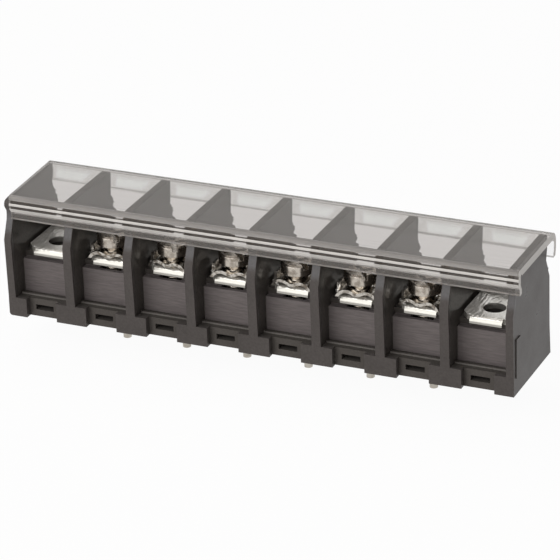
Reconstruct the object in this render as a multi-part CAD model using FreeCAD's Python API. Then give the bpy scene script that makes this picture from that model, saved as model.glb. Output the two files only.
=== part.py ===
import FreeCAD, Part
import math
import os

# Barrier terminal strip for a circuit board, with a clear slide-on cover.
# Millimetres. X runs along the strip, the wires enter from -Y, the board lies at z = 0.

# How far a cut runs past the face it opens
cut_overrun = 0.1

# Rows of cells and their walls
pitch = 9.5
cell_count = 8
barrier_foot_thickness = 1.42
barrier_top_thickness = 1.2
end_wall_outset = 0.46
end_wall_draft = 0.08

# Moulded base
base_rear_y = 7.4
rail_front_y = -6.6
rail_height = 2.75
foot_front_y = -7.64
foot_height = 2.87
foot_half_width = 2.37
foot_corner_radius = 0.45
rib_from_rail_front = 0.85
rib_width = 0.35
rib_height = 0.3
window_half_width = 1.415
window_bottom = 1.01
window_height = 0.8
window_depth = 2.2

# Hollow under each cell, open below, with bosses round its holes
web_thickness = 2.6
shell_thickness = 1.2
hollow_height = 5.6
boss_wall = 0.8

# Platform that carries the plates
panel_front_y = -4.7
plate_seat_height = 8.75
ledge_drop = 0.85
ledge_depth = 1.0
back_wall_height = 11.6
back_wall_thickness = 1.1
back_wall_inset = 0.35

# Barrier outline, seen from the end
barrier_height = 17.85
kink_height = 11.95
kink_overhang = 0.33
neck_length = 1.4
neck_round = 0.1
nose_length = 1.1
nose_top_drop = 0.65
nose_y = -7.3
neck_y = -6.75
nose_radius = 0.55
nose_drop = 0.33
nose_arc_end = 110.0
nose_flat_start = 0.6
top_edge_radius = 0.4
rear_shoulder_height = 11.9
rear_shoulder_inset = 0.5
rear_foot_height = 4.4
rear_foot_inset = 0.4
rear_step_height = 13.05
rear_step_depth = 0.35
rear_tooth_rise = 0.21
rear_tooth_back = 0.1
rear_waist_height = 14.8
rear_waist_y = 5.5
rear_top_y = 5.9
rear_top_foot = 16.5

# Rear of the barriers between the end walls: set back, with a barb above the back wall
inner_rear_inset = 0.55
inner_top_foot = 17.0
inner_waist_height = 14.0
inner_waist_outset = 0.4
barb_height = 12.1
barb_length = 0.66
barb_outset = 0.35
barb_undercut = 0.25
inner_shoulder_height = 11.2

# Moulded key beside the front edge of the end walls
key_bottom = 2.5
key_height = 5.8
key_from_front = 0.75
key_width = 1.6
key_proud = 0.12

# Stamped plates
plate_thickness = 0.85
plate_side_gap = 0.34
plate_rear_y = 3.9
lip_half_width = 2.33
lip_inner_radius = 0.06
lip_front_inset = 0.1
lip_drop = 0.17
chamfer_start_y = -2.9
chamfer_end_y = -3.75
chamfer_end_half_width = 2.95
mounting_hole_diameter = 3.2
mounting_hole_y = -0.85
mounting_hole_room = 0.3

# Solder pins, square in the base and turned round below it
pin_diameter = 1.2
shank_width = 1.3
pin_y = 0.4
pin_projection = 4.65
pin_bore_clearance = 0.05

# Clamp screws
screw_y = -2.35
thread_diameter = 3.0
thread_clearance = 0.05
thread_length = 7.0
head_diameter = 4.8
head_height = 1.6
head_edge_chamfer = 0.25
slot_turns = [-54.0, -62.0, -48.0, -40.0, -57.0, -51.0]
slot_width = 0.8
slot_depth = 0.75
cross_half_length = 1.75
shank_room = 0.2
shank_room_depth = 0.7

# Wire clamps under the heads: one arch on each side of the screw and an ear at each end
clamp_thickness = 0.45
clamp_half_depth = 2.45
arch_x = 1.45
arch_rise = 0.68
arch_radius = 1.25
valley_slope = 30.0
valley_rise = 0.25
clamp_hole_clearance = 0.2
clamp_seat_gap = 0.08
head_gap = 0.67
ear_height = 1.4
ear_foot_half_width = 1.4
ear_tip_half_width = 0.9
ear_lean = 8.0

# Clear cover
cover_top_thickness = 1.1
cover_lip_thickness = 0.85
cover_leg_thickness = 0.85
cover_clearance = 0.12
cover_top_gap = 0.1
cover_shift = 0.85
cover_front_radius = 0.35
cover_rear_radius = 1.7
cover_pocket_radius = 0.5
cover_lip_reach = 0.85
cover_leg_length = 2.65
cover_hook = 0.22
cover_hook_top = 0.6
cover_hook_end = 1.1

strip_half_length = cell_count * pitch / 2.0 + end_wall_outset
platform_rear_y = base_rear_y - rear_shoulder_inset - back_wall_inset
ledge_height = plate_seat_height - ledge_drop
nose_height = barrier_height - nose_top_drop
nose_bottom_height = nose_height - nose_length
neck_height = nose_bottom_height - neck_length
barrier_x = [(i - cell_count / 2.0) * pitch for i in range(cell_count + 1)]
cell_x = [(barrier_x[i] + barrier_x[i + 1]) / 2.0 for i in range(cell_count)]
terminal_cells = range(1, cell_count - 1)
mounting_cells = (0, cell_count - 1)

plate_half_width = (pitch - barrier_foot_thickness) / 2.0 - plate_side_gap
plate_top = plate_seat_height + plate_thickness
lip_bottom_height = plate_seat_height - lip_drop
lip_front_y = panel_front_y + lip_front_inset
clamp_bottom = plate_top + clamp_seat_gap
clamp_crown = clamp_bottom + arch_rise + clamp_thickness
arch_centre_z = clamp_bottom + arch_rise - arch_radius
clamp_half_length = arch_x + math.sqrt((arch_radius + clamp_thickness) ** 2 - (clamp_bottom - arch_centre_z) ** 2)
head_bottom = clamp_crown + head_gap


def vector(x, y, z):
    return FreeCAD.Vector(x, y, z)


def side_wire(points, x):
    """Closed outline in the plane of constant x; an entry of three pairs is an arc through its middle."""
    edges = []
    here = points[0]
    for entry in points[1:] + [points[0]]:
        if len(entry) == 2:
            there = entry
            edges.append(Part.LineSegment(vector(x, *here), vector(x, *there)).toShape())
        else:
            middle, there = entry[0:2], entry[2:4]
            edges.append(Part.Arc(vector(x, *here), vector(x, *middle), vector(x, *there)).toShape())
        here = there
    return Part.Wire(edges)


def side_prism(points, x_from, x_to):
    """Solid with a side outline, from one x to another."""
    face = Part.Face(side_wire(points, x_from))
    return face.extrude(vector(x_to - x_from, 0, 0))


def block(x_from, x_to, y_from, y_to, z_from, z_to):
    corner = vector(x_from, y_from, z_from)
    return Part.makeBox(x_to - x_from, y_to - y_from, z_to - z_from, corner)


def upright_cylinder(radius, x, y, z_from, z_to):
    return Part.makeCylinder(radius, z_to - z_from, vector(x, y, z_from), vector(0, 0, 1))


def one_solid(shape):
    """The single solid that a union or cut leaves, with its seams merged."""
    clean = shape.removeSplitter()
    return clean.Solids[0] if len(clean.Solids) == 1 else clean


def corner_arc(corner, radius, start_angle, end_angle):
    """Middle and end of an arc about a centre, as one outline entry, angles in degrees."""
    middle_angle = math.radians((start_angle + end_angle) / 2.0)
    end = math.radians(end_angle)
    return (corner[0] + radius * math.cos(middle_angle), corner[1] + radius * math.sin(middle_angle),
            corner[0] + radius * math.cos(end), corner[1] + radius * math.sin(end))


def front_outline():
    """Front edge of a barrier from the base up: upright, kink, neck and nose."""
    kink_y = foot_front_y - kink_overhang
    nose_centre = (nose_y + nose_radius, nose_height)
    return [
        (foot_front_y, 0.0),
        (foot_front_y, foot_height),
        (kink_y, kink_height),
        (neck_y - neck_round, neck_height),
        (neck_y, (neck_height + nose_bottom_height) / 2.0),
        (neck_y, nose_bottom_height - neck_round),
        (nose_y, nose_height - nose_drop),
        (nose_y, nose_height),
        corner_arc(nose_centre, nose_radius, 180.0, nose_arc_end),
        (nose_centre[0] + nose_flat_start, barrier_height),
    ]


def top_edge(top_y):
    """Rounded rear end of a barrier's top."""
    centre = (top_y - top_edge_radius, barrier_height - top_edge_radius)
    return [(centre[0], barrier_height), corner_arc(centre, top_edge_radius, 90.0, 0.0)]


def end_wall_rear():
    """Rear edge of an end wall from the top down: waist, small tooth and foot."""
    rear_y = base_rear_y - rear_shoulder_inset
    step_y = (rear_y + rear_waist_y) / 2.0
    return top_edge(rear_top_y) + [
        (rear_top_y, rear_top_foot),
        (rear_waist_y, rear_waist_height),
        (step_y, rear_step_height + rear_step_depth),
        (step_y + rear_step_depth, rear_step_height + rear_tooth_rise),
        (step_y + rear_tooth_back, rear_step_height),
        (rear_y, rear_shoulder_height),
    ]


def inner_rear():
    """Rear edge of a barrier between the end walls, with a barb above the back wall."""
    top_y = rear_top_y - inner_rear_inset
    return top_edge(top_y) + [
        (top_y, inner_top_foot),
        (top_y + inner_waist_outset, inner_waist_height),
        (platform_rear_y, barb_height + barb_length),
        (platform_rear_y + barb_outset, barb_height),
        (platform_rear_y - barb_undercut, barb_height),
        (base_rear_y - rear_shoulder_inset, inner_shoulder_height),
    ]


def barrier_outline(rear_edge):
    """Whole outline of a barrier, seen from the end."""
    return front_outline() + rear_edge + [
        (base_rear_y - rear_foot_inset, rear_foot_height),
        (base_rear_y, 0.0),
    ]


def drafted_wall(x, rear_edge, left_foot, left_top, right_foot, right_top):
    """Barrier outline made thinner towards its top, as a moulding has to be."""
    blank = side_prism(barrier_outline(rear_edge), x - pitch, x + pitch)
    front = foot_front_y - pitch
    section = Part.makePolygon([
        vector(x - left_foot, front, 0.0),
        vector(x + right_foot, front, 0.0),
        vector(x + right_top, front, barrier_height),
        vector(x - left_top, front, barrier_height),
        vector(x - left_foot, front, 0.0),
    ])
    draft = Part.Face(section).extrude(vector(0, base_rear_y - front + pitch, 0))
    return blank.common(draft)


def barrier(index):
    foot = barrier_foot_thickness / 2.0
    top = barrier_top_thickness / 2.0
    outer = end_wall_outset
    outer_top = end_wall_outset - end_wall_draft
    if index == 0:
        return drafted_wall(barrier_x[index], end_wall_rear(), outer, outer_top, foot, top)
    if index == cell_count:
        return drafted_wall(barrier_x[index], end_wall_rear(), foot, top, outer, outer_top)
    return drafted_wall(barrier_x[index], inner_rear(), foot, top, foot, top)


def foot(index):
    """Foot in front of the rail, cut off at the strip's ends."""
    x_from = max(barrier_x[index] - foot_half_width, -strip_half_length)
    x_to = min(barrier_x[index] + foot_half_width, strip_half_length)
    return block(x_from, x_to, foot_front_y, rail_front_y, 0.0, foot_height)


def rounded_corner_cut():
    """What the rounded lower corner at the left end takes off its foot."""
    radius = foot_corner_radius
    x = -strip_half_length
    y_from, y_to = foot_front_y - cut_overrun, rail_front_y
    corner = block(x - cut_overrun, x + radius, y_from, y_to, -cut_overrun, radius)
    rounding = Part.makeCylinder(radius, y_to - y_from, vector(x + radius, y_from, radius), vector(0, 1, 0))
    return corner.cut(rounding)


def platform():
    """Rail, front panel, plate seat and back wall as one outline along the strip."""
    wall_front_y = platform_rear_y - back_wall_thickness
    rib_front_y = rail_front_y + rib_from_rail_front
    outline = [
        (rail_front_y, 0.0),
        (rail_front_y, rail_height),
        (rib_front_y, rail_height),
        (rib_front_y, rail_height + rib_height),
        (rib_front_y + rib_width, rail_height + rib_height),
        (rib_front_y + rib_width, rail_height),
        (panel_front_y, rail_height),
        (panel_front_y, ledge_height),
        (panel_front_y + ledge_depth, ledge_height),
        (panel_front_y + ledge_depth, plate_seat_height),
        (wall_front_y, plate_seat_height),
        (wall_front_y, back_wall_height),
        (platform_rear_y, back_wall_height),
        (platform_rear_y, 0.0),
    ]
    return side_prism(outline, barrier_x[0], barrier_x[cell_count])


def end_keys():
    """Low keys on the outer faces of both end walls, near their front edges."""
    y_from = foot_front_y + key_from_front
    keys = []
    for side in (-1, 1):
        x_inner = side * (strip_half_length - end_wall_draft)
        x_outer = side * (strip_half_length + key_proud)
        low, high = sorted((x_inner, x_outer))
        keys.append(block(low, high, y_from, y_from + key_width, key_bottom, key_bottom + key_height))
    return keys


def hollow(index):
    """Hollow moulded into the underside of one cell, round the bosses that its holes need."""
    x = cell_x[index]
    half = (pitch - web_thickness) / 2.0
    rear_y = platform_rear_y - shell_thickness
    space = block(x - half, x + half, panel_front_y + shell_thickness, rear_y, -cut_overrun, hollow_height)
    for radius, y, floor in cell_holes(index):
        half = radius + boss_wall
        boss_foot = floor - boss_wall if floor > 0.0 else -cut_overrun
        space = space.cut(block(x - half, x + half, y - half, y + half, boss_foot, hollow_height))
    return space


def cell_holes(index):
    """Half width, y and floor of each upright hole in one cell; a floor below the base is a through hole."""
    if index in mounting_cells:
        return [(mounting_hole_diameter / 2.0 + mounting_hole_room, mounting_hole_y, -cut_overrun)]
    screw_floor = head_bottom - thread_length - shank_room_depth
    return [(shank_width / 2.0 + pin_bore_clearance, pin_y, -cut_overrun),
            (thread_diameter / 2.0 + shank_room, screw_y, screw_floor)]


def cell_cuts(index):
    """Underside hollow, the pocket in the rail, and the round or square holes of one cell."""
    x = cell_x[index]
    window = block(x - window_half_width, x + window_half_width, rail_front_y - cut_overrun,
                   rail_front_y + window_depth, window_bottom, window_bottom + window_height)
    cuts = [hollow(index), window]
    top = plate_seat_height + cut_overrun
    for half, y, floor in cell_holes(index):
        if index in mounting_cells:
            cuts.append(upright_cylinder(half, x, y, floor, top))
        else:
            cuts.append(block(x - half, x + half, y - half, y + half, floor, top))
    return cuts


def housing():
    solids = [barrier(i) for i in range(cell_count + 1)]
    solids += [foot(i) for i in range(cell_count + 1)]
    solids += end_keys()
    body = platform().multiFuse(solids)
    cuts = []
    for i in range(cell_count):
        cuts += cell_cuts(i)
    return one_solid(body.cut(rounded_corner_cut().multiFuse(cuts)))


def plate_blank(x):
    """Flat stamping seen from above, with its front corners cut back to the lip."""
    right = [(plate_half_width, plate_rear_y), (plate_half_width, chamfer_start_y),
             (chamfer_end_half_width, chamfer_end_y), (lip_half_width, chamfer_end_y),
             (lip_half_width, lip_front_y - cut_overrun)]
    left = [(-px, py) for px, py in reversed(right)]
    points = [vector(x + px, py, 0.0) for px, py in right + left]
    face = Part.Face(Part.makePolygon(points + [points[0]]))
    return face.extrude(vector(0, 0, plate_top + cut_overrun))


def plate_profile():
    """Plate seen from the end: flat, then bent down over the front of its seat."""
    outer = lip_inner_radius + plate_thickness
    centre = (lip_front_y + outer, plate_top - outer)
    lip_back_y = lip_front_y + plate_thickness
    return [
        (plate_rear_y, plate_top),
        (centre[0], plate_top),
        corner_arc(centre, outer, 90.0, 180.0),
        (lip_front_y, lip_bottom_height),
        (lip_back_y, lip_bottom_height),
        (lip_back_y, centre[1]),
        corner_arc(centre, lip_inner_radius, 180.0, 90.0),
        (plate_rear_y, plate_seat_height),
    ]


def plate(index):
    x = cell_x[index]
    strip = side_prism(plate_profile(), x - plate_half_width, x + plate_half_width)
    solid = strip.common(plate_blank(x))
    low, high = lip_bottom_height, plate_top + cut_overrun
    if index in mounting_cells:
        holes = upright_cylinder(mounting_hole_diameter / 2.0, x, mounting_hole_y, low, high)
    else:
        thread = upright_cylinder(thread_diameter / 2.0 + thread_clearance, x, screw_y, low, high)
        holes = thread.fuse(pin_shank(x, low, high))
    return one_solid(solid.cut(holes))


def turned(outline, x, y):
    """Solid of revolution about an upright axis, from radius and z pairs that start and end on it."""
    points = [vector(r, 0, z) for r, z in outline]
    face = Part.Face(Part.makePolygon(points + [points[0]]))
    solid = face.revolve(vector(0, 0, 0), vector(0, 0, 1), 360)
    solid.translate(vector(x, y, 0))
    return solid


def pin_shank(x, z_from, z_to):
    """Square upper part of a solder pin, also what its hole takes out of the plate."""
    half = shank_width / 2.0
    return block(x - half, x + half, pin_y - half, pin_y + half, z_from, z_to)


def solder_pin(x):
    """Pin staked into its plate, with a square shank whose shoulder stands on the board."""
    shank = pin_shank(x, 0.0, plate_top)
    return one_solid(shank.fuse(upright_cylinder(pin_diameter / 2.0, x, pin_y, -pin_projection, 0.0)))


def terminal_screw(x, slot_turn):
    """Cheese-headed screw with a crossed driver recess; its thread is left plain."""
    head_radius = head_diameter / 2.0
    shank_radius = thread_diameter / 2.0
    top = head_bottom + head_height
    tip = head_bottom - thread_length
    edge = head_edge_chamfer
    outline = [(0.0, tip), (shank_radius, tip), (shank_radius, head_bottom), (head_radius, head_bottom),
               (head_radius, top - edge), (head_radius - edge, top), (0.0, top)]
    half = slot_width / 2.0
    floor, ceiling = top - slot_depth, top + cut_overrun
    slot = block(-head_diameter, head_diameter, -half, half, floor, ceiling)
    cross = block(-half, half, -cross_half_length, cross_half_length, floor, ceiling)
    solid = turned(outline, 0.0, 0.0).cut(slot.fuse(cross))
    solid.rotate(vector(0, 0, 0), vector(0, 0, 1), slot_turn)
    solid.translate(vector(x, screw_y, 0))
    return one_solid(solid)


def arch_side(radius, valley_z):
    """Foot angle, crest end angle and valley point of one skin of the clamp's right arch."""
    foot = math.degrees(math.asin((clamp_bottom - arch_centre_z) / radius))
    end = 90.0 + valley_slope
    end_x = arch_x + radius * math.cos(math.radians(end))
    end_z = arch_centre_z + radius * math.sin(math.radians(end))
    valley_x = end_x - (end_z - valley_z) / math.tan(math.radians(valley_slope))
    return foot, end, valley_x


def clamp_outline():
    """Front view of the clamp: arch, valley and arch of even thickness, as x and z pairs with arcs."""
    inner, outer = arch_radius, arch_radius + clamp_thickness
    low_z = clamp_bottom + valley_rise
    high_z = low_z + clamp_thickness
    inner_foot, crest_end, low_x = arch_side(inner, low_z)
    outer_foot, crest_end, high_x = arch_side(outer, high_z)
    right, left = (arch_x, arch_centre_z), (-arch_x, arch_centre_z)
    foot_x = arch_x + inner * math.cos(math.radians(inner_foot))
    left_inner, left_outer = 180.0 - crest_end, 180.0 - outer_foot
    left_start = (-arch_x + inner * math.cos(math.radians(left_inner)),
                  arch_centre_z + inner * math.sin(math.radians(left_inner)))
    right_start = (arch_x + outer * math.cos(math.radians(crest_end)),
                   arch_centre_z + outer * math.sin(math.radians(crest_end)))
    return [
        (foot_x, clamp_bottom),
        corner_arc(right, inner, inner_foot, crest_end),
        (low_x, low_z),
        (-low_x, low_z),
        left_start,
        corner_arc(left, inner, left_inner, 180.0 - inner_foot),
        (-clamp_half_length, clamp_bottom),
        corner_arc(left, outer, left_outer, left_inner),
        (-high_x, high_z),
        (high_x, high_z),
        right_start,
        corner_arc(right, outer, crest_end, outer_foot),
    ]


def clamp_ear(side):
    """Upturned ear at one end of the clamp, narrower at its tip and leaning outwards."""
    low = clamp_bottom + clamp_thickness / 2.0
    high = clamp_bottom + ear_height
    front = [vector(0, -ear_foot_half_width, low), vector(0, ear_foot_half_width, low),
             vector(0, ear_tip_half_width, high), vector(0, -ear_tip_half_width, high)]
    face = Part.Face(Part.makePolygon(front + [front[0]]))
    face.translate(vector(side * (clamp_half_length - clamp_thickness), 0, 0))
    ear = face.extrude(vector(side * clamp_thickness, 0, 0))
    ear.rotate(vector(side * clamp_half_length, 0, clamp_bottom), vector(0, 1, 0), side * ear_lean)
    return ear


def wire_clamp(x):
    """Double-arched clamp with two upturned ears and a clearance hole for the screw."""
    y_front = -clamp_half_depth
    edges = []
    outline = clamp_outline()
    here = outline[0]
    for entry in outline[1:] + [outline[0]]:
        there = entry[-2:]
        start, end = vector(here[0], y_front, here[1]), vector(there[0], y_front, there[1])
        if len(entry) == 2:
            edges.append(Part.LineSegment(start, end).toShape())
        else:
            edges.append(Part.Arc(start, vector(entry[0], y_front, entry[1]), end).toShape())
        here = there
    solid = Part.Face(Part.Wire(edges)).extrude(vector(0, 2.0 * clamp_half_depth, 0))
    for side in (-1, 1):
        solid = solid.fuse(clamp_ear(side))
    hole_radius = thread_diameter / 2.0 + clamp_hole_clearance
    solid = solid.cut(upright_cylinder(hole_radius, 0.0, 0.0, clamp_bottom, clamp_crown + cut_overrun))
    solid.translate(vector(x, screw_y, 0))
    return one_solid(solid)


def cover_outline():
    """Cover seen from the end: front lip round the nose, flat top and hooked rear leg."""
    under = barrier_height + cover_top_gap
    top = under + cover_top_thickness
    pocket_y = nose_y - cover_clearance
    lip_y = neck_y - neck_round - cover_clearance
    front_y = pocket_y - cover_lip_thickness
    outer_lip_y = lip_y - cover_lip_thickness
    leg_y = rear_top_y + cover_clearance
    rear_y = leg_y + cover_leg_thickness
    inner_radius = cover_pocket_radius
    front_centre = (front_y + cover_front_radius, top - cover_front_radius)
    rear_centre = (rear_y - cover_rear_radius, top - cover_rear_radius)
    rear_inner = top_edge_radius + cover_top_gap
    cover_lip_bottom = nose_bottom_height - cover_lip_reach
    cover_leg_bottom = barrier_height - cover_leg_length
    step_low = nose_bottom_height - cover_clearance
    step_high = nose_height - nose_drop - cover_clearance
    return [
        (outer_lip_y, cover_lip_bottom),
        (outer_lip_y, step_low),
        (front_y, step_high),
        (front_y, front_centre[1]),
        corner_arc(front_centre, cover_front_radius, 180.0, 90.0),
        (rear_centre[0], top),
        corner_arc(rear_centre, cover_rear_radius, 90.0, 0.0),
        (rear_y, cover_leg_bottom + cover_hook_end),
        (rear_y - cover_hook, cover_leg_bottom),
        (leg_y - cover_hook, cover_leg_bottom),
        (leg_y - cover_hook, cover_leg_bottom + cover_hook_top),
        (leg_y, cover_leg_bottom + cover_hook_end),
        (leg_y, under - rear_inner),
        corner_arc((leg_y - rear_inner, under - rear_inner), rear_inner, 0.0, 90.0),
        (pocket_y + inner_radius, under),
        corner_arc((pocket_y + inner_radius, under - inner_radius), inner_radius, 90.0, 180.0),
        (pocket_y, step_high),
        (lip_y, step_low),
        (lip_y, cover_lip_bottom),
    ]


def cover():
    half = strip_half_length
    return side_prism(cover_outline(), -half + cover_shift, half + cover_shift)


def save(name, shape):
    if not shape.isValid():
        raise RuntimeError(name + " is not a valid shape")
    shape.exportStep("parts/" + name + ".step")
    print(name, len(shape.Solids), round(shape.Volume, 2))


def main():
    os.makedirs("parts", exist_ok=True)
    save("housing", housing())
    save("cover", cover())
    for end, index in zip(("left", "right"), mounting_cells):
        save("mounting_plate_" + end, plate(index))
    for number, index in enumerate(terminal_cells, 1):
        x = cell_x[index]
        save("terminal_plate_%d" % number, plate(index))
        save("solder_pin_%d" % number, solder_pin(x))
        save("wire_clamp_%d" % number, wire_clamp(x))
        save("terminal_screw_%d" % number, terminal_screw(x, slot_turns[number - 1]))


main()
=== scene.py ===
import math

import bmesh
import bpy
import numpy as np
from mathutils import Matrix, Vector


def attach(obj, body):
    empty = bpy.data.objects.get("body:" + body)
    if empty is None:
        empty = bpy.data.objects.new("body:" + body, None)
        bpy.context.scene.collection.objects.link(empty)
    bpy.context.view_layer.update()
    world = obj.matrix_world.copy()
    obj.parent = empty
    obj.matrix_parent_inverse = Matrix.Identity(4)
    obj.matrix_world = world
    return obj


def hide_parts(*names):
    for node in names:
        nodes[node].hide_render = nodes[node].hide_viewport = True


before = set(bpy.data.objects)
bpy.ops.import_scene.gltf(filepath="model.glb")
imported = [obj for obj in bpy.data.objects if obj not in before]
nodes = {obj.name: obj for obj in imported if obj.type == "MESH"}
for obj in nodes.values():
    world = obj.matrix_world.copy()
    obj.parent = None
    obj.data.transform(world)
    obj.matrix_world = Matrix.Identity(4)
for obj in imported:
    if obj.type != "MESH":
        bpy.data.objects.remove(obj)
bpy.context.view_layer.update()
terminals = range(1, 7)
pitch = 0.0095
terminalX = [(n - 3.5) * pitch for n in terminals]
screwY, headBottom = -0.00235, 0.01148
millimetre = 0.001
print("frame loaded:", len(nodes), "nodes")


# Material helpers

def newMaterial(name):
    mat = bpy.data.materials.new(name)
    mat.use_nodes = True
    tree = mat.node_tree
    return mat, tree, tree.nodes["Principled BSDF"]


def addNode(tree, kind, inputs=None, **settings):
    node = tree.nodes.new(kind)
    for key, value in settings.items():
        setattr(node, key, value)
    for key, value in (inputs or {}).items():
        feed(tree, node, key, value)
    return node


# A socket is linked, anything else becomes the input's own value
def feed(tree, node, key, value):
    if isinstance(value, bpy.types.NodeSocket):
        tree.links.new(value, node.inputs[key])
    else:
        node.inputs[key].default_value = value


def newGroup(name, inputs, outputs):
    group = bpy.data.node_groups.new(name, "ShaderNodeTree")
    for label, kind, value in inputs:
        group.interface.new_socket(label, in_out="INPUT", socket_type=kind).default_value = value
    for label in outputs:
        group.interface.new_socket(label, in_out="OUTPUT", socket_type="NodeSocketFloat")
    return group, group.nodes.new("NodeGroupInput"), group.nodes.new("NodeGroupOutput")


def useGroup(tree, group, inputs):
    return addNode(tree, "ShaderNodeGroup", inputs, node_tree=group)


def compute(tree, operation, *values):
    return addNode(tree, "ShaderNodeMath", dict(enumerate(values)), operation=operation).outputs[0]


def multiply(tree, first, *others):
    for other in others:
        first = compute(tree, "MULTIPLY", first, other)
    return first


def mapRange(tree, value, fromRange, toRange):
    inputs = {"Value": value, "From Min": fromRange[0], "From Max": fromRange[1],
              "To Min": toRange[0], "To Max": toRange[1]}
    return addNode(tree, "ShaderNodeMapRange", inputs).outputs["Result"]


def blendValue(tree, share, first, second):
    return addNode(tree, "ShaderNodeMix", {"Factor": share, "A": first, "B": second}).outputs["Result"]


def blendColor(tree, share, first, second, kind="MIX"):
    first, second = ((*color, 1.0) if isinstance(color, tuple) else color for color in (first, second))
    return addNode(tree, "ShaderNodeMix", {"Factor": share, "A": first, "B": second}, data_type="RGBA",
                   blend_type=kind).outputs["Result"]


def bump(tree, height, strength, distance, normal=None):
    inputs = {"Height": height, "Strength": strength, "Distance": distance}
    if normal is not None:
        inputs["Normal"] = normal
    return addNode(tree, "ShaderNodeBump", inputs).outputs["Normal"]


def objectAxes(tree):
    coord = addNode(tree, "ShaderNodeTexCoord")
    return addNode(tree, "ShaderNodeSeparateXYZ", {"Vector": coord.outputs["Object"]}).outputs


# Soft grain: two sizes of noise as one height and one mask, in object coordinates
def makeGrainGroup():
    group, start, end = newGroup(
        "grain",
        [("Fine Scale", "NodeSocketFloat", 4000.0), ("Coarse Scale", "NodeSocketFloat", 300.0),
         ("Coarse Share", "NodeSocketFloat", 0.4)],
        ["Height", "Mask"])
    coord = addNode(group, "ShaderNodeTexCoord")
    fine, coarse = (addNode(group, "ShaderNodeTexNoise", {
        "Vector": coord.outputs["Object"], "Detail": detail, "Scale": start.outputs[scale]}).outputs["Fac"]
        for scale, detail in (("Fine Scale", 3.0), ("Coarse Scale", 4.0)))
    feed(group, end, "Height", blendValue(group, start.outputs["Coarse Share"], fine, coarse))
    feed(group, end, "Mask", coarse)
    return group


# Noise drawn out along one axis: fine lines left by a die or a tool, or a stamping's shallow waves
def makeStreakGroup():
    group, start, end = newGroup(
        "streaks",
        [("Stretch", "NodeSocketVector", (20.0, 1.0, 1.0)), ("Scale", "NodeSocketFloat", 1500.0)],
        ["Height"])
    coord = addNode(group, "ShaderNodeTexCoord")
    divided = addNode(group, "ShaderNodeVectorMath", {
        0: coord.outputs["Object"], 1: start.outputs["Stretch"]}, operation="DIVIDE")
    noise = addNode(group, "ShaderNodeTexNoise", {"Vector": divided.outputs["Vector"], "Detail": 2.0,
                                                  "Scale": start.outputs["Scale"]})
    feed(group, end, "Height", noise.outputs["Fac"])
    return group


# A band of one coordinate as a mask: 1 between Low and High, with edges as wide as Soft
def makeBandGroup():
    group, start, end = newGroup(
        "band",
        [("Value", "NodeSocketFloat", 0.0), ("Low", "NodeSocketFloat", 0.0),
         ("High", "NodeSocketFloat", 1.0), ("Soft", "NodeSocketFloat", 0.0001)],
        ["Mask"])
    given = start.outputs
    inside = compute(group, "MINIMUM", compute(group, "SUBTRACT", given["Value"], given["Low"]),
                     compute(group, "SUBTRACT", given["High"], given["Value"]))
    share = compute(group, "DIVIDE", inside, given["Soft"])
    feed(group, end, "Mask", addNode(group, "ShaderNodeClamp", {"Value": share}).outputs["Result"])
    return group


grainGroup = makeGrainGroup()
streakGroup = makeStreakGroup()
bandGroup = makeBandGroup()


def grain(tree, fine, coarse, share):
    inputs = {"Fine Scale": fine, "Coarse Scale": coarse, "Coarse Share": share}
    return useGroup(tree, grainGroup, inputs).outputs


def streaks(tree, stretch, scale):
    return useGroup(tree, streakGroup, {"Stretch": stretch, "Scale": scale}).outputs["Height"]


def band(tree, value, low, high, soft):
    inputs = {"Value": value, "Low": low, "High": high, "Soft": soft}
    return useGroup(tree, bandGroup, inputs).outputs["Mask"]


# where most values of the grain's mask and of its height lie
maskRange, heightRange = (0.3, 0.7), (0.35, 0.65)


# Dark moulding, with a rougher panel, glossier cell walls and painted light and shade: painted shade in the
# cells, a painted sky reflection on the barriers' noses, a painted highlight along the rail, and panels made
# lighter partly by painted light
moulding = {
    "color": (0.065, 0.0585, 0.0560), "wall": (0.062, 0.056, 0.051), "noseSheen": (0.105, 0.103, 0.106),
    "railHighlight": (0.26, 0.245, 0.23), "panel": (0.125, 0.110, 0.109), "shine": (1.0, 0.90, 0.81),
    "specular": 0.15, "ior": 1.5, "roughness": 0.32, "roughnessChange": 0.05, "wallRoughness": 0.18,
    "panelRoughness": 0.5, "speckle": 0.13, "grain": (3500.0, 260.0, 0.35), "bump": 0.00002,
    "bumpStrength": 0.25, "toolMarks": ((12.0, 1.0, 1.0), 6500.0)}
# where they lie, as low, high and softness: away is the distance in x from the nearest barrier's middle in
# pitches, and y and z are in metres
mouldingZones = {
    # painted shade: the cells' inside, behind the barriers' fronts, a little darker; these faces are also
    # glossier
    "wall": {"away": (0.0615, 0.6, 0.003), "y": (-0.0077, 0.02, 0.0012)},
    # painted reflection: the barriers' fronts above the kink, lighter and bluer as if they mirrored the sky
    "noseSheen": {"away": (-1.0, 0.0605, 0.002), "y": (-0.02, -0.0066, 0.0002), "z": (0.0127, 0.0163, 0.0008)},
    # painted highlight on the ridge along the rail's top
    "railHighlight": {"away": (0.080, 0.6, 0.004), "y": (-0.00578, -0.00545, 0.00008),
             "z": (0.0026, 0.0030, 0.00003)},
    # the panels' lighter colour is partly their own rougher finish and partly painted light, for light the
    # recessed panels lack
    "panel": {"away": (0.080, 0.6, 0.004), "y": (-0.0052, -0.0030, 0.00003),
              "z": (0.0028, 0.0080, 0.00003)}}


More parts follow.
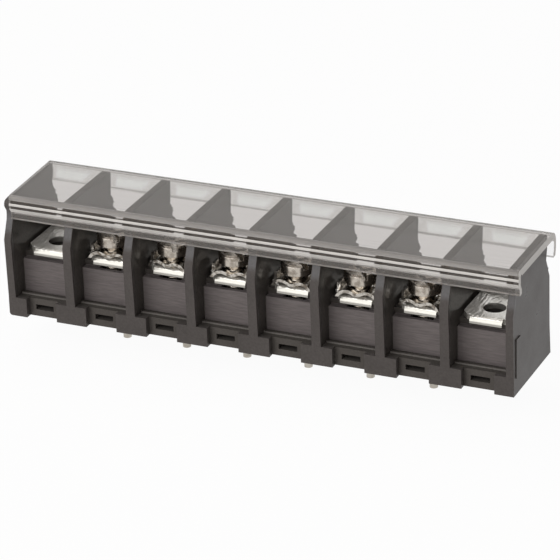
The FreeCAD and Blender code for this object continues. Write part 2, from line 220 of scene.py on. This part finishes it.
def makeMoulding():
    mat, tree, shader = newMaterial("moulding")
    axes = objectAxes(tree)
    away = compute(tree, "PINGPONG", compute(tree, "DIVIDE", axes["X"], pitch), 0.5)
    places = {"away": away, "y": axes["Y"], "z": axes["Z"]}
    masks = {name: multiply(tree, *[band(tree, places[key], *limits) for key, limits in zone.items()])
             for name, zone in mouldingZones.items()}
    color = moulding["color"]
    # painted light and shade blended over the moulding's colour: shade in the cells, a sky reflection on the
    # barriers' noses, a highlight along the rail and light on the panels
    for name, mask in masks.items():
        color = blendColor(tree, mask, color, moulding[name])
    speckle = grain(tree, *moulding["grain"])
    middle, change = moulding["roughness"], moulding["roughnessChange"]
    rough = mapRange(tree, speckle["Mask"], maskRange, (middle - change, middle + change))
    rough = blendValue(tree, masks["wall"], rough, moulding["wallRoughness"])
    rough = blendValue(tree, masks["panel"], rough, moulding["panelRoughness"])
    # the panels have faint level tool marks instead of the speckle
    pattern = blendValue(tree, masks["panel"], speckle["Height"], streaks(tree, *moulding["toolMarks"]))
    tone = mapRange(tree, pattern, heightRange, (1.0 - moulding["speckle"], 1.0 + moulding["speckle"]))
    feed(tree, shader, "Base Color", blendColor(tree, 1.0, color, tone, "MULTIPLY"))
    feed(tree, shader, "Roughness", rough)
    feed(tree, shader, "Normal", bump(tree, speckle["Height"], moulding["bumpStrength"], moulding["bump"]))
    feed(tree, shader, "IOR", moulding["ior"])
    feed(tree, shader, "Specular IOR Level", moulding["specular"])
    feed(tree, shader, "Specular Tint", (*moulding["shine"], 1.0))
    return mat


# Each metal has patches of its dull colour, drawn lines, and waves that break up what it mirrors. Waves and
# patches start at the height "above", and a plate's bent lip lies below it in a darker copy of its colour,
# painted shade that damps the lamp's glare on the lip.
metals = {
    "nickelPlate": {"color": (0.74, 0.72, 0.675), "dull": (0.46, 0.43, 0.38), "dullShare": 0.4,
                    "patches": 900.0, "roughness": 0.17, "metallic": 0.60, "lines": 0.5,
                    "waves": ((1.0, 3.0, 1.0), 2400.0), "waveDepth": 0.00013, "above": 0.0093,
                    "lip": (0.385, 0.371, 0.338)},
    "clampSteel": {"color": (0.52, 0.49, 0.445), "dull": (0.13, 0.105, 0.08), "dullShare": 0.9,
                   "patches": 1700.0, "roughness": 0.20, "metallic": 1.0, "lines": 0.2,
                   "waves": ((2.0, 1.0, 1.0), 1500.0), "waveDepth": 0.00009, "above": -1.0},
    "screwSteel": {"color": (0.50, 0.455, 0.40), "dull": (0.20, 0.165, 0.13), "dullShare": 0.7,
                   "patches": 1300.0, "roughness": 0.24, "metallic": 1.0, "lines": 0.1,
                   "waves": ((1.0, 1.0, 2.0), 1100.0), "waveDepth": 0.00003, "above": -1.0},
    "tinnedPin": {"color": (0.46, 0.43, 0.38), "dull": (0.26, 0.23, 0.19), "dullShare": 0.5,
                  "patches": 900.0, "roughness": 0.34, "metallic": 1.0, "lines": 0.2,
                  "waves": ((1.0, 1.0, 2.0), 1100.0), "waveDepth": 0.00001, "above": -1.0}}
metalSurface = {"fineGrain": 2500.0, "coarseShare": 0.3, "drawnLines": ((14.0, 1.0, 1.0), 5200.0),
                "dullRange": (0.42, 0.62), "smoother": 0.05, "rougher": 0.07, "bump": 0.00001,
                "bumpStrength": 0.25, "upTo": 0.05, "soft": 0.0002}


def makeMetal(name):
    values = metals[name]
    mat, tree, shader = newMaterial(name)
    marks = grain(tree, metalSurface["fineGrain"], values["patches"], metalSurface["coarseShare"])
    height = objectAxes(tree)["Z"]
    upper = band(tree, height, values["above"], metalSurface["upTo"], metalSurface["soft"])
    dull = mapRange(tree, marks["Mask"], metalSurface["dullRange"], (0.0, values["dullShare"]))
    color = blendColor(tree, dull, values["color"], values["dull"])
    # painted shade: the bent lip below the height "above" gets its darker colour
    if "lip" in values:
        color = blendColor(tree, upper, values["lip"], color)
    rough = mapRange(tree, marks["Mask"], maskRange, (values["roughness"] - metalSurface["smoother"],
                                                      values["roughness"] + metalSurface["rougher"]))
    drawn = streaks(tree, *metalSurface["drawnLines"])
    relief = blendValue(tree, values["lines"], marks["Height"], drawn)
    normal = bump(tree, relief, metalSurface["bumpStrength"], metalSurface["bump"])
    waves = multiply(tree, streaks(tree, *values["waves"]), upper)
    feed(tree, shader, "Base Color", color)
    feed(tree, shader, "Roughness", rough)
    feed(tree, shader, "Normal", bump(tree, waves, 1.0, values["waveDepth"], normal))
    feed(tree, shader, "Metallic", values["metallic"])
    return mat


# Finishes along the cover's section, in the order of the numbers that coverProfile gives them
paleShine = (0.84, 0.77, 0.70)
coverFinish = {
    # the clear sheet's grey tint is partly its own and partly painted shade, for the shadowed floor seen
    # through it
    "clearCover": {"color": (0.535, 0.51, 0.495), "transmission": 1.0, "roughness": 0.03,
                   "shine": (0.35, 0.22, 0.10)},
    # the strips' tints and haze are partly frosting and partly painted light and shade, for the bright and
    # dark bands that refraction makes in the lip
    "hazyCover": {"color": (0.68, 0.655, 0.63), "transmission": 0.25, "roughness": 0.25,
                  "shine": paleShine},
    "faintCover": {"color": (0.43, 0.41, 0.395), "transmission": 0.6, "roughness": 0.12,
                   "shine": paleShine},
    "veilCover": {"color": (0.44, 0.42, 0.405), "transmission": 0.84, "roughness": 0.08,
                  "shine": paleShine},
    # painted light: the rear leg's paler tint than the top's stands in for lighter patches seen through it
    "paleCover": {"color": (0.94, 0.935, 0.93), "transmission": 1.0, "roughness": 0.04,
                  "shine": paleShine},
    "smokyCover": {"color": (0.46, 0.44, 0.425), "transmission": 0.94, "roughness": 0.05,
                   "shine": (0.6, 0.5, 0.4)}}
coverSurface = {"ior": 1.46, "dieLines": ((40.0, 1.0, 1.0), 900.0), "bump": 0.00003, "bumpStrength": 0.35}
# painted reflections: lighter bands of the cover's top, where the rear leg lies behind it, standing in for
# lamp reflections there; y as low, high and softness
coverSheenBands = [{"y": (-0.0008, 0.0200, 0.0004), "color": (0.54, 0.52, 0.50), "inCells": False},
              {"y": (0.0000, 0.0038, 0.0006), "color": (0.655, 0.65, 0.63), "inCells": True}]
# a painted reflection band in the cells ends at these distances from the barriers beside it, and its left end
# slants
sheenPatchEnds = {"left": 0.0040, "right": 0.0011, "slant": 0.45, "soft": 0.0005}
# faint broken drag marks along the cover: their y, half width and strength
dragMarks = {"lines": [(-0.0054, 0.00022, 0.30), (-0.0072, 0.00025, 0.42)], "color": (0.2, 0.19, 0.18),
             "grain": (900.0, 90.0, 0.8), "range": (0.45, 0.6)}


def withinCell(tree, axes):
    cell = compute(tree, "WRAP", axes["X"], 0.0, pitch)
    slanted = compute(tree, "MULTIPLY_ADD", axes["Y"], sheenPatchEnds["slant"], cell)
    left = band(tree, slanted, sheenPatchEnds["left"], 0.1, sheenPatchEnds["soft"])
    right = band(tree, cell, -0.1, pitch - sheenPatchEnds["right"], sheenPatchEnds["soft"])
    return multiply(tree, left, right)


# the cover's top colour, with painted reflections over the rear leg and drag marks
def coverTopSheenAndMarks(tree, color):
    axes = objectAxes(tree)
    # painted reflections: lighter bands blended over the tint
    for tone in coverSheenBands:
        share = band(tree, axes["Y"], *tone["y"])
        if tone["inCells"]:
            share = multiply(tree, share, withinCell(tree, axes))
        color = blendColor(tree, share, color, tone["color"])
    patches = grain(tree, *dragMarks["grain"])["Height"]
    for y, half, strength in dragMarks["lines"]:
        mark = band(tree, axes["Y"], y - half, y + half, half)
        depth = mapRange(tree, patches, dragMarks["range"], (0.0, strength))
        color = blendColor(tree, multiply(tree, mark, depth), color, dragMarks["color"])
    return color


def makeClear(name):
    values = coverFinish[name]
    mat, tree, shader = newMaterial(name)
    height = streaks(tree, *coverSurface["dieLines"])
    feed(tree, shader, "Base Color", (*values["color"], 1.0))
    if name == "clearCover":
        feed(tree, shader, "Base Color", coverTopSheenAndMarks(tree, values["color"]))
    feed(tree, shader, "Roughness", values["roughness"])
    feed(tree, shader, "Normal", bump(tree, height, coverSurface["bumpStrength"], coverSurface["bump"]))
    feed(tree, shader, "IOR", coverSurface["ior"])
    feed(tree, shader, "Specular Tint", (*values["shine"], 1.0))
    feed(tree, shader, "Transmission Weight", values["transmission"])
    return mat


materials = {"moulding": makeMoulding()}
for finishName in coverFinish:
    materials[finishName] = makeClear(finishName)
for metalName in metals:
    materials[metalName] = makeMetal(metalName)
print("materials:", len(materials))


# Piece helpers

def place(obj, body, slot, *replaced):
    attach(obj, body)
    if replaced:
        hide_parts(*replaced)
    return obj


def newObject(name, mesh, material):
    obj = bpy.data.objects.new(name, mesh)
    bpy.context.scene.collection.objects.link(obj)
    mesh.materials.clear()
    mesh.materials.append(materials[material])
    return obj


def shadeByAngle(mesh, degrees):
    work = bmesh.new()
    work.from_mesh(mesh)
    for face in work.faces:
        face.smooth = True
    for edge in work.edges:
        edge.smooth = edge.is_manifold and edge.calc_face_angle(0.0) < math.radians(degrees)
    work.to_mesh(mesh)
    work.free()


copying = {"mergeWithin": 0.000002, "flatBelow": 0.6, "sharpAbove": 35.0}  # metres, then degrees


# A merged copy of a CAD node, its flat facets joined and its sharp edges bevelled
def bevelledCopy(node, name, material, width, segments=2, change=None):
    mesh = nodes[node].data.copy()
    work = bmesh.new()
    work.from_mesh(mesh)
    bmesh.ops.remove_doubles(work, verts=work.verts, dist=copying["mergeWithin"])
    if change:
        for vert in work.verts:
            vert.co = change(vert.co)
    bmesh.ops.dissolve_limit(work, angle_limit=math.radians(copying["flatBelow"]), verts=work.verts,
                             edges=work.edges)
    work.to_mesh(mesh)
    work.free()
    obj = newObject(name, mesh, material)
    shadeByAngle(mesh, copying["sharpAbove"])
    bevel = obj.modifiers.new("edges", "BEVEL")
    bevel.width = width
    bevel.segments = segments
    bevel.limit_method = "ANGLE"
    bevel.angle_limit = math.radians(copying["sharpAbove"])
    bevel.harden_normals = True
    return obj


# Housing, in millimetres: the back wall stands lower than its solid, and the inner barriers' rear edge is
# matched to the photo's outline, with each corner's y and z before and after
housing = {
    "bevel": 0.10, "near": 0.03, "inner": 36.5,
    "wallTop": {"z": 11.6, "from": 5.4, "to": 6.6, "lower": 0.45},
    "barrierTop": {"above": 17.2, "behind": 4.6, "back": 0.40},
    "barrierRear": [((5.35, 17.0), (5.62, 16.3)), ((5.75, 14.0), (5.40, 14.3)),
                    ((6.55, 12.76), (6.50, 12.80)), ((6.90, 12.1), (5.74, 12.62)),
                    ((6.30, 12.1), (6.46, 11.95))]}


def matchOutline(co):
    x, y, z = co / millimetre
    wall, top, near = housing["wallTop"], housing["barrierTop"], housing["near"]
    if abs(z - wall["z"]) < near and wall["from"] < y < wall["to"]:
        z -= wall["lower"]
    elif abs(x) > housing["inner"]:
        return co
    elif y > top["behind"] and z > top["above"]:
        y += top["back"]
    else:
        for (oldY, oldZ), new in housing["barrierRear"]:
            if abs(y - oldY) < near and abs(z - oldZ) < near:
                y, z = new
                break
    return Vector((co.x, y * millimetre, z * millimetre))


place(bevelledCopy("housing", "housing_moulding", "moulding", housing["bevel"] * millimetre,
                   change=matchOutline), "housing", "moulding", "housing")
print("housing done")

# Plates and pins, with their bevels in millimetres
plates = {"bevel": 0.06}
pins = {"bevel": 0.25, "segments": 4}


def placePlate(node):
    place(bevelledCopy(node, node + "_metal", "nickelPlate", plates["bevel"] * millimetre),
          "housing", "nickel_plate", node)


for end in ("left", "right"):
    placePlate("mounting_plate_" + end)
for n in terminals:
    placePlate("terminal_plate_%d" % n)
    node = "solder_pin_%d" % n
    place(bevelledCopy(node, node + "_metal", "tinnedPin", pins["bevel"] * millimetre, pins["segments"]),
          "housing", "tinned_pin", node)
print("plates and pins done")

# Clamps and screws: bevels in millimetres, and each clamp's turn in degrees, as it sits a little askew
clamps = {"bevel": 0.16, "segments": 3, "turns": [3.0, -4.0, 5.0, -2.5, 4.0, -3.5]}
screws = {"bevel": 0.10}
# thread in metres: at height z and angle a its radius is mean + depth * wave(z / lead - a / 2 pi), where the
# wave is a triangle with rounded tips, and towards the tip it narrows to pointShare. Inside it the solid's
# own shank shrinks to the share "core" and ends a little above the tip.
thread = {"top": 0.01160, "tip": 0.00450, "mean": 0.00139, "depth": 0.00010, "lead": 0.0005,
          "rounding": 0.95, "around": 40, "perTurn": 8, "pointShare": 0.72, "pointLength": 0.0004,
          "core": 0.8, "coreAboveTip": 0.0003, "belowHead": 0.0001}


# The grid has one ring of vertices for each height, and both ends are closed
def threadMesh(x, y):
    rows = int((thread["top"] - thread["tip"]) / thread["lead"] * thread["perTurn"]) + 1
    z = np.linspace(thread["tip"], thread["top"], rows)[:, None]
    a = np.linspace(0.0, 2.0 * np.pi, thread["around"], endpoint=False)[None, :]
    turn = z / thread["lead"] - a / (2.0 * np.pi)
    wave = np.arcsin(thread["rounding"] * np.sin(2.0 * np.pi * turn)) / math.asin(thread["rounding"])
    point = np.sqrt(np.clip((z - thread["tip"]) / thread["pointLength"], 0.0, 1.0))
    taper = thread["pointShare"] + (1.0 - thread["pointShare"]) * point
    radius = (thread["mean"] + thread["depth"] * wave) * taper
    grid = np.stack([x + radius * np.cos(a), y + radius * np.sin(a), z + 0.0 * a], -1).reshape(-1, 3)
    ring = np.arange(rows * thread["around"]).reshape(rows, -1)
    ahead = np.roll(ring, -1, 1)
    sides = np.stack([ring[:-1], ahead[:-1], ahead[1:], ring[1:]], -1).reshape(-1, 4)
    mesh = bpy.data.meshes.new("thread")
    mesh.from_pydata(grid.tolist(), [], sides.tolist() + [ring[0, ::-1].tolist(), ring[-1].tolist()])
    return mesh


def addThread(mesh, x, y):
    work = bmesh.new()
    work.from_mesh(mesh)
    for vert in work.verts:
        if vert.co.z < headBottom - thread["belowHead"]:
            vert.co.x = x + (vert.co.x - x) * thread["core"]
            vert.co.y = y + (vert.co.y - y) * thread["core"]
            vert.co.z = max(vert.co.z, thread["tip"] + thread["coreAboveTip"])
    winding = threadMesh(x, y)
    work.from_mesh(winding)
    for face in work.faces:
        face.smooth = True
    work.to_mesh(mesh)
    work.free()
    bpy.data.meshes.remove(winding)


def turnAbout(mesh, x, y, degrees):
    mesh.transform(Matrix.Translation((x, y, 0.0)) @ Matrix.Rotation(math.radians(degrees), 4, "Z")
                   @ Matrix.Translation((-x, -y, 0.0)))


for n, x, degrees in zip(terminals, terminalX, clamps["turns"]):
    node = "wire_clamp_%d" % n
    clamp = bevelledCopy(node, node + "_metal", "clampSteel", clamps["bevel"] * millimetre,
                         clamps["segments"])
    turnAbout(clamp.data, x, screwY, degrees)
    place(clamp, "clamp_%d" % n, "clamp_steel", node)
    node = "terminal_screw_%d" % n
    screw = bevelledCopy(node, node + "_metal", "screwSteel", screws["bevel"] * millimetre)
    addThread(screw.data, x, screwY)
    place(screw, "screw_%d" % n, "screw_steel", node)
print("clamps and screws done")

# Cover, in millimetres: the section is extruded along X, and its left end is cut a little askew
cover = {"from": -37.61, "to": 39.31, "skew": 0.55, "front": -8.27, "rear": 6.87, "top": 19.05,
         "under": 17.95, "frontRadius": 0.45, "rearRadius": 1.7, "lip": -7.82, "lipBottom": 15.37,
         "lipRadius": 0.12, "ribFrom": 17.48, "ribHeight": 0.40, "ribProud": 0.07, "rearInside": 6.02,
         "insideRadius": 0.5, "recessFront": -7.42, "recessTop": 18.20, "recessRadius": 0.15,
         "smoothBelow": 24.0}


def roundCorner(centre, radius, start, end, steps, finish):
    angles = [math.radians(start + (end - start) * i / steps) for i in range(steps + 1)]
    return [(centre[0] + radius * math.cos(a), centre[1] + radius * math.sin(a), finish) for a in angles]


# Long edges get a point near each end, so that rounded neighbours don't bend their shading
def withSupports(points, near=0.06, longest=0.6):
    out = []
    for i, (y, z, finish) in enumerate(points):
        nextY, nextZ, nextFinish = points[(i + 1) % len(points)]
        length = math.hypot(nextY - y, nextZ - z)
        out.append((y, z, finish))
        if length > longest:
            for share in (near / length, 1.0 - near / length):
                out.append((y + (nextY - y) * share, z + (nextZ - z) * share, finish))
    return out


# The section as y, z and the finish of the strip that starts there, from the foot of the front lip up its
# outside, over the top, round the rear leg and back along the underside
def coverProfile():
    clear, hazy, faint, veil, pale, smoky = range(6)
    front, rear, top, under = (cover[key] for key in ("front", "rear", "top", "under"))
    lip, foot, radius = cover["lip"], cover["lipBottom"], cover["lipRadius"]
    points = roundCorner((lip + radius, foot), radius, 250.0, 180.0, 3, faint)[:-1]
    points += [(lip, foot, veil), (lip, 16.42, hazy), (front + 0.03, 16.98, hazy), (front, 17.08, smoky)]
    # the lip's rib bulges by half a sine wave
    low, high = cover["ribFrom"], cover["ribFrom"] + cover["ribHeight"]
    points += [(front, low, hazy)]
    points += [(front - cover["ribProud"] * math.sin(math.pi * t / 6),
                low + cover["ribHeight"] * t / 6, hazy) for t in range(1, 6)]
    points += [(front, high, smoky), (front, 18.38, faint)]
    radius = cover["frontRadius"]
    points += roundCorner((front + radius, top - radius), radius, 180.0, 90.0, 8, faint)[:-1]
    points += [(front + radius, top, clear)]
    radius = cover["rearRadius"]
    bend = roundCorner((rear - radius, top - radius), radius, 90.0, 0.0, 12, clear)
    points += bend[:-6] + [(y, z, veil) for y, z, finish in bend[-6:-1]]
    points += [(rear, 17.35, pale), (rear, 16.30, pale), (6.65, 15.20, hazy), (5.80, 15.20, pale)]
    points += [(5.80, 15.80, pale), (cover["rearInside"], 16.30, pale)]
    radius, y = cover["insideRadius"], cover["rearInside"] - cover["insideRadius"]
    points += roundCorner((y, under - radius), radius, 0.0, 90.0, 6, pale)[:-1]
    points += [(y, under, clear), (-7.0, under, clear)]
    radius, y = cover["recessRadius"], cover["recessFront"]
    points += [(y + 2.0 * radius, cover["recessTop"], clear)]
    points += roundCorner((y + radius, cover["recessTop"] - radius), radius, 90.0, 180.0, 4, clear)
    points += [(y, 16.75, clear), (-6.97, 15.98, clear), (-6.97, 15.30, hazy)]
    return withSupports(points)


# Two copies of the section joined by strips: the left end's x is from + skew * (rear - y) / (rear - front)
def makeCover():
    points = coverProfile()
    count = len(points)
    section = np.array([(y, z) for y, z, finish in points])
    behind = (cover["rear"] - section[:, 0]) / (cover["rear"] - cover["front"])
    left, right = cover["from"] + cover["skew"] * behind, np.full(count, cover["to"])
    verts = np.concatenate([np.column_stack([x, section]) for x in (left, right)]) * millimetre
    here = np.arange(count)
    ahead = (here + 1) % count
    strips = np.stack([here, ahead, count + ahead, count + here], -1)
    mesh = bpy.data.meshes.new("cover_clear")
    mesh.from_pydata(verts.tolist(), [], strips.tolist() + [here[::-1].tolist(), (here + count).tolist()])
    obj = newObject("cover_clear", mesh, "clearCover")
    for name in list(coverFinish)[1:]:
        mesh.materials.append(materials[name])
    finishes = [finish for y, z, finish in points] + [1, 1]  # both ends are hazy
    mesh.polygons.foreach_set("material_index", finishes)
    work = bmesh.new()
    work.from_mesh(mesh)
    bmesh.ops.recalc_face_normals(work, faces=work.faces)
    work.to_mesh(mesh)
    work.free()
    shadeByAngle(mesh, cover["smoothBelow"])
    return obj


place(makeCover(), "cover", "clear_cover", "cover")
print("cover done")

# Floor, light and camera
light = {"world": 0.33, "color": (1.0, 0.95, 0.90)}
lamps = {"front": {"place": (-0.25, -0.62, 0.35), "size": (0.9, 0.7), "power": 5.2},
         "top": {"place": (-0.3, 0.1, 0.8), "size": (0.6, 0.6), "power": 1.5}}
floor = {"height": -0.0047, "half": 3.0, "color": (0.86, 0.86, 0.86), "glow": 0.95}
# camera solved from the photo: position in metres, angles in degrees, focal length in frame widths
camera = {"place": (0.171167, -0.378746, 0.197194), "azimuth": 24.207, "elevation": 24.455, "roll": -1.738,
          "focal": 5.80143, "sensor": 36.0, "clip": (0.01, 20.0)}


# 1 for rays that see the background straight on, in a mirror or through the clear cover
def backgroundRays(tree):
    path = addNode(tree, "ShaderNodeLightPath").outputs
    some = compute(tree, "MAXIMUM", path["Is Camera Ray"], path["Is Glossy Ray"])
    return compute(tree, "MAXIMUM", some, path["Is Transmission Ray"])


def mixShaders(tree, share, first, second, endKind):
    mix = addNode(tree, "ShaderNodeMixShader", {0: share, 1: first.outputs[0], 2: second.outputs[0]})
    addNode(tree, endKind, {"Surface": mix.outputs[0]})


def makeWorld():
    world = bpy.data.worlds.new("studio")
    bpy.context.scene.world = world
    world.use_nodes = True
    tree = world.node_tree
    tree.nodes.clear()
    seen = addNode(tree, "ShaderNodeBackground", {"Color": (1.0, 1.0, 1.0, 1.0), "Strength": 1.0})
    lit = addNode(tree, "ShaderNodeBackground", {"Color": (*light["color"], 1.0), "Strength": light["world"]})
    mixShaders(tree, backgroundRays(tree), lit, seen, "ShaderNodeOutputWorld")


def makeFloor():
    z, r = floor["height"], floor["half"]
    mesh = bpy.data.meshes.new("floor")
    mesh.from_pydata([(-r, -r, z), (r, -r, z), (r, r, z), (-r, r, z)], [], [(0, 1, 2, 3)])
    mat = bpy.data.materials.new("floor")
    mat.use_nodes = True
    tree = mat.node_tree
    tree.nodes.clear()
    diffuse = addNode(tree, "ShaderNodeBsdfDiffuse", {"Color": (*floor["color"], 1.0)})
    glow = addNode(tree, "ShaderNodeEmission", {"Color": (1.0, 1.0, 1.0, 1.0), "Strength": 1.0})
    share = multiply(tree, backgroundRays(tree), floor["glow"])
    mixShaders(tree, share, diffuse, glow, "ShaderNodeOutputMaterial")
    obj = bpy.data.objects.new("floor", mesh)
    mesh.materials.append(mat)
    bpy.context.scene.collection.objects.link(obj)


def makeLamp(name):
    values = lamps[name]
    data = bpy.data.lights.new(name, "AREA")
    data.shape = "RECTANGLE"
    data.size, data.size_y = values["size"]
    data.energy = values["power"]
    lamp = bpy.data.objects.new(name, data)
    lamp.location = values["place"]
    lamp.rotation_euler = (Vector(values["place"]) * -1.0).to_track_quat("-Z", "Y").to_euler()
    bpy.context.scene.collection.objects.link(lamp)


def makeCamera():
    az, el, roll = (math.radians(camera[key]) for key in ("azimuth", "elevation", "roll"))
    back = Vector((math.sin(az) * math.cos(el), -math.cos(az) * math.cos(el), math.sin(el)))
    right = Vector((0.0, 0.0, 1.0)).cross(back).normalized()
    up = back.cross(right)
    side = right * math.cos(roll) + up * math.sin(roll)
    rise = up * math.cos(roll) - right * math.sin(roll)
    data = bpy.data.cameras.new("camera")
    data.sensor_width = camera["sensor"]
    data.lens = camera["focal"] * camera["sensor"]
    data.clip_start, data.clip_end = camera["clip"]
    obj = bpy.data.objects.new("camera", data)
    turn = Matrix((side, rise, back)).transposed().to_4x4()
    obj.matrix_world = Matrix.Translation(camera["place"]) @ turn
    bpy.context.scene.collection.objects.link(obj)
    bpy.context.scene.camera = obj


makeWorld()
makeFloor()
for lampName in lamps:
    makeLamp(lampName)
makeCamera()
bpy.context.scene.view_settings.view_transform = "Standard"
print("stage done")
